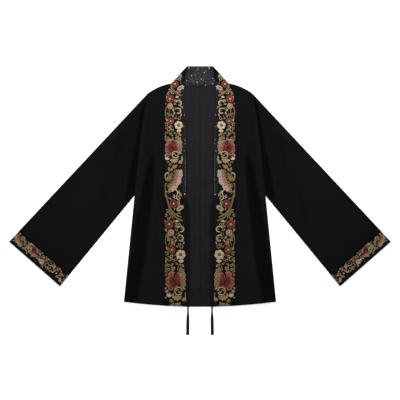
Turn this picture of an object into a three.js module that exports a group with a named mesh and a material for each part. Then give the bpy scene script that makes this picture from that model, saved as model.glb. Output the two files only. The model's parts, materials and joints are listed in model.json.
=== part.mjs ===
// An open-front jacket with a standing band collar, laid flat with its front up.
//
// +X is the wearer's left, +Y runs towards the collar, and the cloth lies on the plane Z = 0.
// The lower layer is the two back panels and the collar stand. The upper layer is the two
// fronts and the two bands that edge the opening and fold over into the collar. Sleeves and
// cuffs are flattened tubes, and a ribbon tie lies beside each band and runs out past the hem.
//
// The +X half is worked out first, in plan, as lines between a few corners. Every panel is a
// wall between two faces over its own stretch of that plan, and the other half is its mirror
// image. Panels stop SEAM_GAP short of each other along a seam. All sizes are in millimetres.

import * as THREE from "three";

// Sizes of the garment as it lies
const BODY_LENGTH = 713; // side of the neck to the hem at the centre
const COLLAR_RISE = 55; // the stand above the neck seam
const COLLAR_TOP = 83; // width of the stand's upper edge
const NECK_WIDTH = 182;
const NECK_DIP = 5; // the neck seam is this much lower at the centre of the back
const SHOULDER_WIDTH = 336;
const SHOULDER_DROP = 33;
const SHOULDER_BOW = 5; // how far the shoulder bulges above a straight line
const ARMHOLE_DEPTH = 359; // side of the neck down to the underarm
const ARMHOLE_BOW = 4;
const CHEST_WIDTH = 418; // across at the underarm
const HEM_WIDTH = 486;
const HEM_RISE = 16; // the hem is this much higher at the side seams
const SLEEVE_LENGTH = 646; // along the upper fold, cuff included
const SLEEVE_ANGLE = THREE.MathUtils.degToRad(46.9); // of the upper fold, below the horizontal
const CUFF_WIDTH = 217;
const CUFF_SLANT = THREE.MathUtils.degToRad(1.8); // off square to the upper fold
const CUFF_DEPTH = 45;
const BAND_EDGE = 112; // centre line to the seam between band and front
const OPENING_EDGE = 44; // centre line to the band's free edge
const OPENING_NECK = 50; // the same at the neck, where the band spreads
const TIE_WIDTH = 10;
const TIE_TOP = -38; // height of the stitches that hold a tie
const TIE_END = -474;

// The cloth and how it lies
const CLOTH = 1.2; // body cloth
const BAND_CLOTH = 1.8; // bands and cuffs are folded double
const TIE_CLOTH = 1;
const SEAM_GAP = 0.3;
const UPPER_LAYER = 3.4; // height of the upper layer's underside
const ROLL = 8; // how far in from an outer edge the upper layer rolls down
const FOLD_CLEAR = 24; // folds die away within this distance of an outer edge

// Soft folds of the upper layer. Each runs along a line and sinks to nothing at `inner` on the
// side of the body's centre and at `outer` on the other. It fades in and out over the shares
// of the line in `fadeIn` and `fadeOut`. A negative rise is a trough.
const FOLDS = [
  // front, from the armpit down to the hem
  { from: [138, 178], to: [213, -470], rise: 5.5, inner: 60, outer: 30, fadeIn: 0.4, fadeOut: 0.02 },
  { from: [186, 262], to: [196, 60], rise: 1.8, inner: 30, outer: 14, fadeIn: 0.3, fadeOut: 0.6 },
  // sleeve, a trough between two ridges, then softer ones on each side
  { from: [214, 205], to: [345, -190], rise: 3.4, inner: 24, outer: 22, fadeIn: 0.35, fadeOut: 0.45 },
  { from: [243, 190], to: [374, -190], rise: -1.3, inner: 12, outer: 14, fadeIn: 0.3, fadeOut: 0.4 },
  { from: [274, 172], to: [414, -190], rise: 4, inner: 24, outer: 46, fadeIn: 0.3, fadeOut: 0.45 },
  { from: [214, 110], to: [244, -80], rise: -1.2, inner: 12, outer: 16, fadeIn: 0.4, fadeOut: 0.4 },
  { from: [232, 0], to: [338, -165], rise: 2, inner: 16, outer: 20, fadeIn: 0.3, fadeOut: 0.5 },
  { from: [330, 20], to: [520, -215], rise: 2.2, inner: 30, outer: 40, fadeIn: 0.4, fadeOut: 0.3 },
];

// How finely the panels are divided
const BODY_ROWS = 27;
const FRONT_COLUMNS = 7;
const BAND_COLUMNS = 4;
const SLEEVE_ROWS = 18;
const CUFF_ROWS = 2;
const TUBE_COLUMNS = 10; // over the top of a sleeve
const TUBE_LOWER_COLUMNS = 6;
const ROLL_SHARES = [0, 0.12, 0.36, 0.66]; // where the rolled edge is cut, as shares of ROLL
const NECK_POINTS = 6;
const EDGE_POINTS = 32;
const TIE_STEPS = 24;

// Corners of the half plan
const COLLAR_Y = (BODY_LENGTH + COLLAR_RISE) / 2;
const NECK_Y = COLLAR_Y - COLLAR_RISE;
const HEM_Y = -COLLAR_Y;
const collarCorner = new THREE.Vector2(COLLAR_TOP / 2, COLLAR_Y);
const neckSide = new THREE.Vector2(NECK_WIDTH / 2, NECK_Y);
const shoulderTip = new THREE.Vector2(SHOULDER_WIDTH / 2, NECK_Y - SHOULDER_DROP);
const underarm = new THREE.Vector2(CHEST_WIDTH / 2, NECK_Y - ARMHOLE_DEPTH);
const cuffTop = polar(shoulderTip, SLEEVE_LENGTH, -SLEEVE_ANGLE);
const cuffUnder = polar(cuffTop, CUFF_WIDTH, -SLEEVE_ANGLE - Math.PI / 2 - CUFF_SLANT);
const hemSide = onHem(HEM_WIDTH / 2);

function polar(from, length, angle) {
  return new THREE.Vector2(length, 0).rotateAround(new THREE.Vector2(), angle).add(from);
}

// The hem curves up from the centre to the side seams.
function onHem(x) {
  return new THREE.Vector2(x, HEM_Y + HEM_RISE * (x / (HEM_WIDTH / 2)) ** 2);
}

function onNeck(x) {
  return new THREE.Vector2(x, NECK_Y - NECK_DIP * (1 - (x / neckSide.x) ** 2));
}

// A path from a to b that bulges by `bow` to the left of the way it runs.
function bowed(a, b, bow) {
  const along = b.clone().sub(a).normalize();
  const control = a.clone().lerp(b, 0.5).add(new THREE.Vector2(-along.y, along.x).multiplyScalar(2 * bow));
  return new THREE.Path().moveTo(a.x, a.y).quadraticCurveTo(control.x, control.y, b.x, b.y);
}

// Lines of the half plan, each from its upper to its lower end
const diagonal = new THREE.LineCurve(collarCorner, neckSide); // where the band folds into the collar
const shoulder = bowed(neckSide, shoulderTip, SHOULDER_BOW);
const armhole = bowed(shoulderTip, underarm, ARMHOLE_BOW);
const bodySide = bowed(shoulderTip, underarm, ARMHOLE_BOW).lineTo(hemSide.x, hemSide.y);
const upperFold = new THREE.LineCurve(shoulderTip, cuffTop);
const underSeam = new THREE.LineCurve(underarm, cuffUnder);
const bandFoot = onHem(BAND_EDGE);
const bandSeam = new THREE.Path()
  .moveTo(neckSide.x, neckSide.y)
  .quadraticCurveTo(BAND_EDGE, NECK_Y - 32, BAND_EDGE, NECK_Y - 78)
  .lineTo(bandFoot.x, bandFoot.y);
const openingFoot = onHem(OPENING_EDGE);
const openingEdge = new THREE.Path()
  .moveTo(collarCorner.x, collarCorner.y)
  .quadraticCurveTo(OPENING_NECK, NECK_Y + 18, OPENING_NECK, NECK_Y - 30)
  .quadraticCurveTo(OPENING_NECK, NECK_Y - 80, OPENING_EDGE, NECK_Y - 140)
  .lineTo(openingFoot.x, openingFoot.y);

// The outer edges of the garment, where its upper layer rolls down to the lower one
const outerEdges = [
  [diagonal, shoulder, upperFold].flatMap((line) => line.getSpacedPoints(EDGE_POINTS)),
  [cuffUnder, underarm, hemSide],
];

function fromSegment(point, a, b) {
  const along = b.clone().sub(a);
  const share = point.clone().sub(a).dot(along) / (along.lengthSq() || 1);
  return point.distanceTo(a.clone().addScaledVector(along, THREE.MathUtils.clamp(share, 0, 1)));
}

function fromLine(point, { v1, v2 }) {
  const along = v2.clone().sub(v1).normalize();
  return Math.abs(point.clone().sub(v1).cross(along));
}

function fromOuterEdge(point) {
  return Math.min(...outerEdges.flatMap((edge) => edge.slice(1).map((end, i) => fromSegment(point, edge[i], end))));
}

// Height of the soft folds at a point of the plan.
function foldHeight(point) {
  let height = 0;
  for (const { from, to, rise, inner, outer, fadeIn, fadeOut } of FOLDS) {
    const start = new THREE.Vector2(...from);
    const line = new THREE.Vector2(...to).sub(start);
    const away = point.clone().sub(start);
    const along = away.dot(line) / line.lengthSq();
    const across = -away.cross(line) / line.length();
    const reach = across < 0 ? inner : outer;
    if (Math.abs(across) >= reach) continue;
    const fade = THREE.MathUtils.smoothstep(along, 0, fadeIn) * THREE.MathUtils.smoothstep(1 - along, 0, fadeOut);
    height += rise * fade * Math.cos(((Math.PI / 2) * across) / reach) ** 2;
  }
  return height * THREE.MathUtils.smoothstep(fromOuterEdge(point), 0, FOLD_CLEAR);
}

// A quarter circle that climbs from 0 to 1.
function quarterRound(share) {
  return Math.sqrt(1 - (1 - THREE.MathUtils.clamp(share, 0, 1)) ** 2);
}

// A point on a face of the upper layer. The face starts at height `foot`, as far inside the
// outer edge as `inset` says, and reaches `level` where the roll ends.
function onFace(point, inset, foot, level) {
  const climb = quarterRound((fromOuterEdge(point) - inset) / (ROLL - inset));
  return new THREE.Vector3(point.x, point.y, THREE.MathUtils.lerp(foot, level, climb) + foldHeight(point));
}

// The point at share u down and share v across a panel that four lines bound. `inner` and
// `outer` run down it, and `top` and `bottom` run across from inner to outer.
function patch({ inner, outer, top, bottom }, u, v) {
  const down = inner.getPoint(u).lerp(outer.getPoint(u), v);
  const across = top.getPoint(v).lerp(bottom.getPoint(v), u);
  const upper = top.getPoint(0).lerp(top.getPoint(1), v);
  const lower = bottom.getPoint(0).lerp(bottom.getPoint(1), v);
  return down.add(across).sub(upper.lerp(lower, u));
}

// Shares from 0 to 1 across a panel, evenly spaced but closer over a rolled edge, where the
// first is `inset` inside the edge. A reach is the panel's width square to the edge at that
// end, and it is 0 where the end isn't rolled.
function shares(count, startReach, endReach, inset) {
  const rolled = (reach) => (reach ? ROLL_SHARES.map((s) => THREE.MathUtils.lerp(inset, ROLL, s) / reach) : []);
  const low = startReach && ROLL / startReach;
  const high = 1 - (endReach && ROLL / endReach);
  const even = Array.from({ length: count + 1 }, (_, i) => THREE.MathUtils.lerp(low, high, i / count));
  return [...rolled(startReach), ...even, ...rolled(endReach).reverse().map((s) => 1 - s)];
}

// A closed wall between an outer and an inner grid of points. The columns of a tube run all
// the way round it.
function wall(outer, inner, isTube) {
  const corners = [];
  const quad = (a, b, c, d) => corners.push(a, b, c, a, c, d);
  const rows = outer.length - 1;
  const width = outer[0].length;
  const columns = isTube ? width : width - 1;
  for (let i = 0; i < rows; i++)
    for (let j = 0; j < columns; j++) {
      const k = (j + 1) % width;
      quad(outer[i][j], outer[i + 1][j], outer[i + 1][k], outer[i][k]);
      quad(inner[i][j], inner[i][k], inner[i + 1][k], inner[i + 1][j]);
    }
  for (let j = 0; j < columns; j++) {
    const k = (j + 1) % width;
    quad(outer[0][j], outer[0][k], inner[0][k], inner[0][j]);
    quad(outer[rows][k], outer[rows][j], inner[rows][j], inner[rows][k]);
  }
  for (let i = 0; i < rows && !isTube; i++) {
    quad(outer[i + 1][0], outer[i][0], inner[i][0], inner[i + 1][0]);
    quad(outer[i][columns], outer[i + 1][columns], inner[i + 1][columns], inner[i][columns]);
  }
  return new THREE.BufferGeometry().setFromPoints(corners);
}

// A panel of the upper layer, which rolls down along its top, and along its outer line where
// that is an outer edge.
function upperPanel(lines, thickness, columnsFor) {
  const face = (inset, level) =>
    shares(BODY_ROWS, 0.75 * BODY_LENGTH, 0, inset).map((u) =>
      columnsFor(u, inset).map((v) => onFace(patch(lines, u, v), inset, CLOTH + SEAM_GAP, level)),
    );
  return wall(face(0, UPPER_LAYER + thickness), face(thickness, UPPER_LAYER), false);
}

function front() {
  const gap = new THREE.Vector2(SEAM_GAP, 0);
  const lines = {
    inner: { getPoint: (u) => bandSeam.getPoint(u).add(gap) },
    outer: bodySide,
    top: shoulder,
    bottom: new THREE.LineCurve(bandFoot, hemSide),
  };
  const width = (u) => patch(lines, u, 0).distanceTo(patch(lines, u, 1));
  return upperPanel(lines, CLOTH, (u, inset) => shares(FRONT_COLUMNS, 0, width(u), inset));
}

function band() {
  const bottom = new THREE.LineCurve(openingFoot, bandFoot);
  const lines = { inner: openingEdge, outer: bandSeam, top: diagonal, bottom };
  return upperPanel(lines, BAND_CLOTH, () => shares(BAND_COLUMNS, 0, 0, 0));
}

// A flattened tube whose lower layer rests on Z = 0. Its lines run from the body outwards,
// with the seam under the arm as the inner line and the upper fold as the outer one.
function tube(lines, thickness, rows) {
  const corner = 0.8; // width of the rounded lower corner
  const loop = (u, inset, level) => {
    const seamReach = fromLine(patch(lines, u, 1), underSeam);
    const foldReach = fromLine(patch(lines, u, 0), upperFold);
    const upper = shares(TUBE_COLUMNS, seamReach, foldReach, inset).map((v) =>
      onFace(patch(lines, u, v), inset, thickness + SEAM_GAP, level),
    );
    const start = (inset + corner) / seamReach;
    const end = 1 - (inset + corner) / foldReach;
    const lower = Array.from({ length: TUBE_LOWER_COLUMNS + 1 }, (_, j) => {
      const point = patch(lines, u, THREE.MathUtils.lerp(end, start, j / TUBE_LOWER_COLUMNS));
      return new THREE.Vector3(point.x, point.y, inset);
    });
    return [...upper, ...lower];
  };
  const face = (inset, level) => Array.from({ length: rows + 1 }, (_, i) => loop(i / rows, inset, level));
  return wall(face(0, UPPER_LAYER + thickness), face(thickness, UPPER_LAYER), true);
}

// The lines of a sleeve's far end, from one distance above the cuff's edge to another.
function tubeLines(from, to) {
  const at = (line, height) => line.getPoint(1 - height / line.getLength());
  const inner = new THREE.LineCurve(at(underSeam, from), at(underSeam, to));
  const outer = new THREE.LineCurve(at(upperFold, from), at(upperFold, to));
  const top = new THREE.LineCurve(inner.v1, outer.v1);
  const bottom = new THREE.LineCurve(inner.v2, outer.v2);
  return { inner, outer, top, bottom };
}

function sleeve() {
  const end = tubeLines(CUFF_DEPTH + SEAM_GAP, CUFF_DEPTH + SEAM_GAP);
  const lines = {
    inner: new THREE.LineCurve(underarm, end.inner.v2),
    outer: new THREE.LineCurve(shoulderTip, end.outer.v2),
    top: { getPoint: (v) => armhole.getPoint(1 - v) },
    bottom: end.bottom,
  };
  return tube(lines, CLOTH, SLEEVE_ROWS).translate(SEAM_GAP, 0, 0);
}

function cuff() {
  return tube(tubeLines(CUFF_DEPTH, 0), BAND_CLOTH, CUFF_ROWS);
}

// A piece of the lower layer, cut from flat cloth.
function lowerPiece(outline) {
  return new THREE.ExtrudeGeometry(new THREE.Shape(outline), { depth: CLOTH, bevelEnabled: false });
}

function back() {
  const acrossHalf = (count, edge, place) =>
    Array.from({ length: count + 1 }, (_, i) => place(THREE.MathUtils.lerp(SEAM_GAP / 2, edge, i / count)));
  const hem = acrossHalf(NECK_POINTS * 2, hemSide.x, onHem);
  const side = bodySide.getSpacedPoints(EDGE_POINTS).reverse().slice(1);
  const top = shoulder.getSpacedPoints(NECK_POINTS).reverse().slice(1, -1);
  const neck = acrossHalf(NECK_POINTS, neckSide.x, onNeck).reverse();
  return lowerPiece([...hem, ...side, ...top, ...neck]);
}

function collarStand() {
  const corner = neckSide.clone().lerp(collarCorner, SEAM_GAP / COLLAR_RISE);
  const neck = Array.from({ length: 2 * NECK_POINTS - 1 }, (_, i) => {
    const point = onNeck(neckSide.x * ((i + 1) / NECK_POINTS - 1));
    return point.setY(point.y + SEAM_GAP);
  });
  const flip = ({ x, y }) => new THREE.Vector2(-x, y);
  return lowerPiece([flip(corner), ...neck, corner, collarCorner, flip(collarCorner)]);
}

// A tie is sewn under the band, lies on the back beside the band's edge, and drops over the
// hem. It is a flat ribbon with its long edges rounded off.
const ON_BACK = CLOTH + SEAM_GAP + TIE_CLOTH / 2;
const ON_FLOOR = TIE_CLOTH / 2 + 0.1;
const TIE_ROUTE = [
  [53, TIE_TOP, ON_BACK],
  [47, TIE_TOP - 13, ON_BACK],
  [41.5, TIE_TOP - 30, ON_BACK],
  [38.5, TIE_TOP - 52, ON_BACK],
  [37.8, TIE_TOP - 90, ON_BACK],
  [37.6, -200, ON_BACK],
  [37.8, -290, ON_BACK],
  [38.2, -360, ON_BACK],
  [38.4, HEM_Y - 3, ON_BACK],
  [38.5, HEM_Y - 12, (ON_BACK + ON_FLOOR) / 2],
  [38.6, HEM_Y - 22, ON_FLOOR],
  [38.8, HEM_Y - 36, ON_FLOOR],
  [39, HEM_Y - 60, ON_FLOOR],
  [39.3, TIE_END, ON_FLOOR],
];

function tie() {
  const [halfWidth, halfCloth] = [TIE_WIDTH / 2, TIE_CLOTH / 2];
  const shoulderOfEdge = halfWidth - 0.6;
  const quarter = [
    [halfCloth, shoulderOfEdge],
    [halfCloth / 2, halfWidth],
  ];
  const round = [
    ...quarter,
    ...quarter.map(([x, y]) => [-x, y]).reverse(),
    ...quarter.map(([x, y]) => [-x, -y]),
    ...quarter.map(([x, y]) => [x, -y]).reverse(),
  ];
  const section = new THREE.Shape(round.map((corner) => new THREE.Vector2(...corner)));
  const route = new THREE.CatmullRomCurve3(TIE_ROUTE.map((stop) => new THREE.Vector3(...stop)));
  return new THREE.ExtrudeGeometry(section, { steps: TIE_STEPS, extrudePath: route });
}

// The same shape on the other side of the centre line, with its faces still pointing out.
function mirrored(geometry) {
  const copy = (geometry.index ? geometry.toNonIndexed() : geometry.clone()).scale(-1, 1, 1);
  const place = copy.getAttribute("position");
  const corner = (i) => new THREE.Vector3().fromBufferAttribute(place, i);
  for (let i = 0; i < place.count; i += 3) {
    const [second, third] = [corner(i + 1), corner(i + 2)];
    place.setXYZ(i + 1, ...third);
    place.setXYZ(i + 2, ...second);
  }
  return copy;
}

const jacket = new THREE.Group();

function add(name, geometry, color, roughness) {
  geometry.computeVertexNormals();
  const mesh = new THREE.Mesh(geometry, new THREE.MeshStandardMaterial({ color, roughness, metalness: 0 }));
  mesh.name = name;
  jacket.add(mesh);
}

// Each sewn piece of the wearer's left, with its twin on the right
const PIECES = [
  { name: "back", make: back, color: 0x28252a, roughness: 0.6 },
  { name: "front", make: front, color: 0x17161a, roughness: 0.82 },
  { name: "band", make: band, color: 0x3b2a28, roughness: 0.75 },
  { name: "sleeve", make: sleeve, color: 0x17161a, roughness: 0.82 },
  { name: "cuff", make: cuff, color: 0x3b2a28, roughness: 0.75 },
  { name: "tie", make: tie, color: 0x141314, roughness: 0.45 },
];
for (const { name, make, color, roughness } of PIECES) {
  const geometry = make();
  add(name + "_left", geometry, color, roughness);
  add(name + "_right", mirrored(geometry), color, roughness);
}
add("collar_stand", collarStand(), 0x3a393c, 0.55);

export default jacket;
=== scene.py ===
# %% [markdown]
# # An open-front shirt with embroidered bands, laid flat
# The shirt is black cloth, cut as two backs, two fronts, two sleeves, a collar stand, two long
# front bands and two cuff bands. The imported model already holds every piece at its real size
# and place, so this lesson refines those pieces, dresses them in thread and stones, and lights
# them on a pale floor. Everything is in metres: +X is the wearer's left, +Y points to the
# collar, and +Z comes up out of the front. Tables of places are in millimetres, for one side.

# %% Load the frame
import json
import math

import bpy
import numpy as np
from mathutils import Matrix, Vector
from mathutils.bvhtree import BVHTree

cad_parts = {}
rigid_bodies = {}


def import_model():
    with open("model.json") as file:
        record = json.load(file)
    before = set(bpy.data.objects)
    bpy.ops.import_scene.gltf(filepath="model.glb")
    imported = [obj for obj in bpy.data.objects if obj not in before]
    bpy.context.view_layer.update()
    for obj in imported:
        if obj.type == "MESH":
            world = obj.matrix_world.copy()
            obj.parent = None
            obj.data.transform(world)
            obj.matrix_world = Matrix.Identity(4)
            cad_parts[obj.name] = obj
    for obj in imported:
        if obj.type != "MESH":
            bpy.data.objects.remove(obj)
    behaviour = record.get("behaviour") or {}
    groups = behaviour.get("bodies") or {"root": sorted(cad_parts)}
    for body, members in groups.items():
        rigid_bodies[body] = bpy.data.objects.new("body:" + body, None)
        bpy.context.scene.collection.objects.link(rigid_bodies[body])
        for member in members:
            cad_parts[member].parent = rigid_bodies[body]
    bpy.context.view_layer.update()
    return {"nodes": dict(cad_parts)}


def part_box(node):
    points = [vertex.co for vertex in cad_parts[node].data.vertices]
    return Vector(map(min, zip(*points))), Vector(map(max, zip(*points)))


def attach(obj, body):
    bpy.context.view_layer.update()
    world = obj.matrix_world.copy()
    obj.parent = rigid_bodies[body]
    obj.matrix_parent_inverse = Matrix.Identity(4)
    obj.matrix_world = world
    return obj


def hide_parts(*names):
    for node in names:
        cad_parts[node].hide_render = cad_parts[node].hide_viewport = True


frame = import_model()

MM = 0.001

# %% [markdown]
# ## Camera
# A garment laid out for its portrait is seen from straight above. A camera with no rotation
# looks down -Z with +Y at the top, so only its place and lens have to be chosen. A long lens
# keeps the sleeves from leaning outwards. The ties hang below the hem, so the middle of the
# view is a little below the middle of the garment.

# %% Look straight down
VIEW_WIDTH, VIEW_CENTRE_Y = 1.276, -0.0432  # what is seen of the floor, in metres


def new_object(name, data):
    """Puts a camera, a lamp, a curve or a mesh in the scene."""
    made = bpy.data.objects.new(name, data)
    bpy.context.collection.objects.link(made)
    return made


camera_data = bpy.data.cameras.new("camera")
camera_data.lens = 100
camera = new_object("camera", camera_data)
camera.location = (0, VIEW_CENTRE_Y, VIEW_WIDTH * camera_data.lens / camera_data.sensor_width)
bpy.context.scene.camera = camera
print("camera height in m:", round(camera.location.z, 3))

# %% [markdown]
# ## Ribbon ties
# Each tie is a satin ribbon sewn inside the band at the waist. It lies on the back beside the
# band's edge, turns half on its side as it slips over the hem, and lies on the floor. A curve
# with an extrusion gives a flat strip, and the tilt of its points turns the strip. A tilt of
# 90 degrees lays it flat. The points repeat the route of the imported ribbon. The curve is made a
# mesh in the end, so that its size can be measured like that of every other piece.

# %% Lay the ties
SIDES = {"left": 1, "right": -1}  # the wearer's side, and the sign of its X
TIE_FLAT, TIE_ROUNDING = 9 * MM, 0.45 * MM  # width of the flat part, and radius of its edges
ON_BACK, ON_FLOOR, ON_EDGE = 2.0, 0.7, 4.4
TIE_ROUTE = [  # x, y, z and tilt in degrees
    (53, -38, ON_BACK, 90), (47, -51, ON_BACK, 90), (41.5, -68, ON_BACK, 90),
    (38.5, -90, ON_BACK, 90), (37.8, -128, ON_BACK, 88), (37.6, -200, ON_BACK, 92),
    (37.8, -290, ON_BACK, 90), (38.2, -350, ON_BACK, 84), (38.3, -372, ON_BACK + 0.9, 58),
    (38.4, -387, ON_EDGE, 32), (38.5, -400, ON_EDGE, 30), (38.6, -414, 3.0, 55),
    (38.8, -430, 1.1, 80), (39, -446, ON_FLOOR, 90), (39.2, -460, ON_FLOOR, 90),
    (39.3, -474, ON_FLOOR, 90),
]


def deselect():
    bpy.ops.object.select_all(action="DESELECT")


def only(piece):
    """Selects one piece and makes it the active one."""
    deselect()
    piece.select_set(True)
    bpy.context.view_layer.objects.active = piece


def smooth(degrees):
    """Rounds the shading of the active piece, but not at edges sharper than this."""
    bpy.ops.object.shade_smooth_by_angle(angle=math.radians(degrees))


def ribbon_tie(side, sign):
    name = f"ribbon_tie_{side}"
    route = [Vector((sign * x, y, z)) * MM for x, y, z, _ in TIE_ROUTE]
    data = bpy.data.curves.new(name, "CURVE")
    data.dimensions = "3D"
    data.twist_mode = "Z_UP"
    data.extrude = TIE_FLAT / 2
    data.bevel_depth = TIE_ROUNDING
    data.bevel_resolution = 1
    data.use_fill_caps = True
    data.resolution_u = 6
    spline = data.splines.new("BEZIER")
    spline.bezier_points.add(len(route) - 1)
    for point, place, (_, _, _, tilt) in zip(spline.bezier_points, route, TIE_ROUTE):
        point.co = place
        point.handle_left_type = point.handle_right_type = "AUTO"
        point.tilt = math.radians(sign * tilt)
    tie = new_object(name, data)
    only(tie)
    bpy.ops.object.convert(target="MESH")
    smooth(40)
    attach(tie, "root")
    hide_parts(f"tie_{side}")
    return tie


ties = [ribbon_tie(side, sign) for side, sign in SIDES.items()]

# %% [markdown]
# ## Floor and light
# The floor is a plain pale sheet that glows a little, like a light table, so that it stays white
# right up to the cloth. A broad lamp beyond the collar rakes over the cloth, so that
# folds and raised thread show, a second one softens its shadows, and the world fills in the
# rest. Black cloth next to a white floor needs a plain display transform, because one that
# compresses the light would turn both grey.

# %% Make the studio
FLOOR_SIZE = 60
FLOOR_DROP = 0.3 * MM  # the floor lies just below the cloth, so that no two faces share a plane
bpy.context.scene.view_settings.view_transform = "Standard"
deselect()
bpy.ops.mesh.primitive_plane_add(size=FLOOR_SIZE, location=(0, 0, -FLOOR_DROP))
floor = bpy.context.object
floor.name = "floor"
floor_paint = bpy.data.materials.new("floor_paint")
floor_paint.use_nodes = True
floor_shader = floor_paint.node_tree.nodes["Principled BSDF"]
floor_shader.inputs["Base Color"].default_value = (0.93, 0.93, 0.93, 1)
floor_shader.inputs["Roughness"].default_value = 0.9
floor_shader.inputs["Specular IOR Level"].default_value = 0.1
floor_shader.inputs["Emission Color"].default_value = (1, 1, 1, 1)
floor_shader.inputs["Emission Strength"].default_value = 0.3
floor.data.materials.append(floor_paint)

world = bpy.data.worlds.new("studio")
world.use_nodes = True
world.node_tree.nodes["Background"].inputs["Color"].default_value = (1, 1, 1, 1)
world.node_tree.nodes["Background"].inputs["Strength"].default_value = 0.6
bpy.context.scene.world = world


def lamp(name, place, size, power):
    """A square lamp that faces the middle of the garment."""
    data = bpy.data.lights.new(name, "AREA")
    data.size = size
    data.energy = power
    source = new_object(name, data)
    source.location = place
    source.rotation_euler = (-Vector(place)).to_track_quat("-Z", "Y").to_euler()
    print(name, "shines with", power, "watts")


lamp("key", (0.5, 2.3, 2.2), 1.6, 95)
lamp("fill", (-1.8, -1.6, 2.6), 2.4, 40)

# %% [markdown]
# ## Cloth finishes
# The body is a matt black weave. Up close it has crossing threads, and from a step away only a
# faint unevenness. Two wave textures at right angles give the threads, and slow noise gives
# the unevenness. All of it reads Object coordinates, because the cloth lies flat and so they
# are its own width and length. Black cloth has hardly any gloss.


# %% Tools for finishes
def linear(red, green, blue):
    """A colour given in display values from 0 to 255, as the light that it stands for."""
    parts = [v / 255 for v in (red, green, blue)]
    return (*[v / 12.92 if v < 0.04045 else ((v + 0.055) / 1.055) ** 2.4 for v in parts], 1)


class Finish:
    """A material with its shader, and short ways to add and join nodes."""

    def __init__(self, name, roughness, gloss, **sockets):
        self.material = bpy.data.materials.new(name)
        self.material.use_nodes = True
        self.tree = self.material.node_tree
        self.shader = self.tree.nodes["Principled BSDF"]
        self.shader.inputs["Roughness"].default_value = roughness
        self.shader.inputs["Specular IOR Level"].default_value = gloss
        for socket, value in sockets.items():
            self.shader.inputs[socket].default_value = value

    def node(self, kind, settings=None, **inputs):
        """A new node's outputs. An input goes by its name, or by the letter i and its number."""
        made = self.tree.nodes.new(kind)
        for key, value in (settings or {}).items():
            setattr(made, key, value)
        for name, value in inputs.items():
            socket = made.inputs[int(name[1:]) if name[1:].isdigit() else name]
            if isinstance(value, bpy.types.NodeSocket):
                self.tree.links.new(value, socket)
            else:
                socket.default_value = value
        return made.outputs

    def place(self, turn=0.0):
        """Object coordinates, turned about Z."""
        object_place = self.node("ShaderNodeTexCoord")["Object"]
        mapping = self.node("ShaderNodeMapping", Vector=object_place, Rotation=(0, 0, turn))
        return mapping["Vector"]

    def parts_of(self, place):
        """The X, Y and Z of a place."""
        return self.node("ShaderNodeSeparateXYZ", Vector=place)

    def attribute(self, name, output):
        return self.node("ShaderNodeAttribute", {"attribute_name": name})[output]

    def waves(self, place, axis, pitch, distortion=0.0):
        """Bands across one axis, a pitch apart. At scale 1 they would be 2 pi / 20 apart."""
        settings = {"wave_type": "BANDS", "bands_direction": axis}
        scale = 2 * math.pi / (20 * pitch)
        bands = self.node("ShaderNodeTexWave", settings, Vector=place, Scale=scale,
                          Distortion=distortion)
        return bands["Fac"]

    def noise(self, place, size, detail=2.0):
        return self.node("ShaderNodeTexNoise", Vector=place, Scale=1 / size, Detail=detail)["Fac"]

    def calculate(self, operation, *values):
        inputs = {f"i{number}": value for number, value in enumerate(values)}
        return self.node("ShaderNodeMath", {"operation": operation}, **inputs)[0]

    def blend(self, factor, first, second):
        """From the first colour to the second."""
        return self.node("ShaderNodeMix", {"data_type": "RGBA"}, i0=factor, i6=first, i7=second)[2]

    def toned(self, colour, tone):
        """A colour made darker or lighter by a tone around 1."""
        return self.node("ShaderNodeVectorMath", {"operation": "SCALE"}, i0=colour, Scale=tone)[0]

    def spread(self, value, low, high):
        """Stretches the values between low and high to 0 and 1."""
        return self.node("ShaderNodeMapRange", {"clamp": True}, Value=value, i1=low, i2=high)[0]

    def colour(self, value):
        self.tree.links.new(value, self.shader.inputs["Base Color"])

    def bump(self, height, depth):
        bumped = self.node("ShaderNodeBump", Height=height, Distance=depth)["Normal"]
        self.tree.links.new(bumped, self.shader.inputs["Normal"])


print("display grey 128 stands for a light of", round(linear(128, 128, 128)[0], 3))

# %% [markdown]
# ### Woven cloth
# One recipe serves every plain cloth, with its own colours, pitch and turn. The sleeves lie at
# a slant, so their threads are turned with them. Body, sleeves and bands also take their tone from
# an attribute named painted_shading_and_tone, which a later step works out for every point: painted
# shade and painted highlights of folds and seams, and a lighter tone on the bands.

# %% Mix the cloth finishes
SLEEVE_TURN = math.radians(43.1)
CLOUD_SIZE, WEAVE_DEPTH = 90 * MM, 0.12 * MM
BODY_BLACK = (11, 10.4, 12), (15.6, 15, 17.4)  # from the gaps between the threads to their crowns
SLEEVE_BLACK = (10.6, 10.2, 11.6), (15.4, 15, 17.2)


def woven(name, dark, light, turn=0.0, roughness=0.9, gloss=0.03, pitch=0.9 * MM, shaded=True):
    finish = Finish(name, roughness, gloss)
    place = finish.place(turn)
    warp, weft = finish.waves(place, "X", pitch), finish.waves(place, "Y", pitch)
    threads = finish.calculate("MULTIPLY", warp, weft)
    cloudy = finish.spread(finish.noise(place, CLOUD_SIZE), 0.1, 0.9)
    lightness = finish.calculate("ADD", cloudy, finish.calculate("MULTIPLY_ADD", threads, 0.25, -0.06))
    colour = finish.blend(lightness, linear(*dark), linear(*light))
    # The attribute scales the colour: painted shade and painted highlights, and the bands' lighter
    # tone.
    finish.colour(finish.toned(colour, finish.attribute("painted_shading_and_tone", "Fac")) if shaded else colour)
    finish.bump(threads, WEAVE_DEPTH)
    return finish


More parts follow.
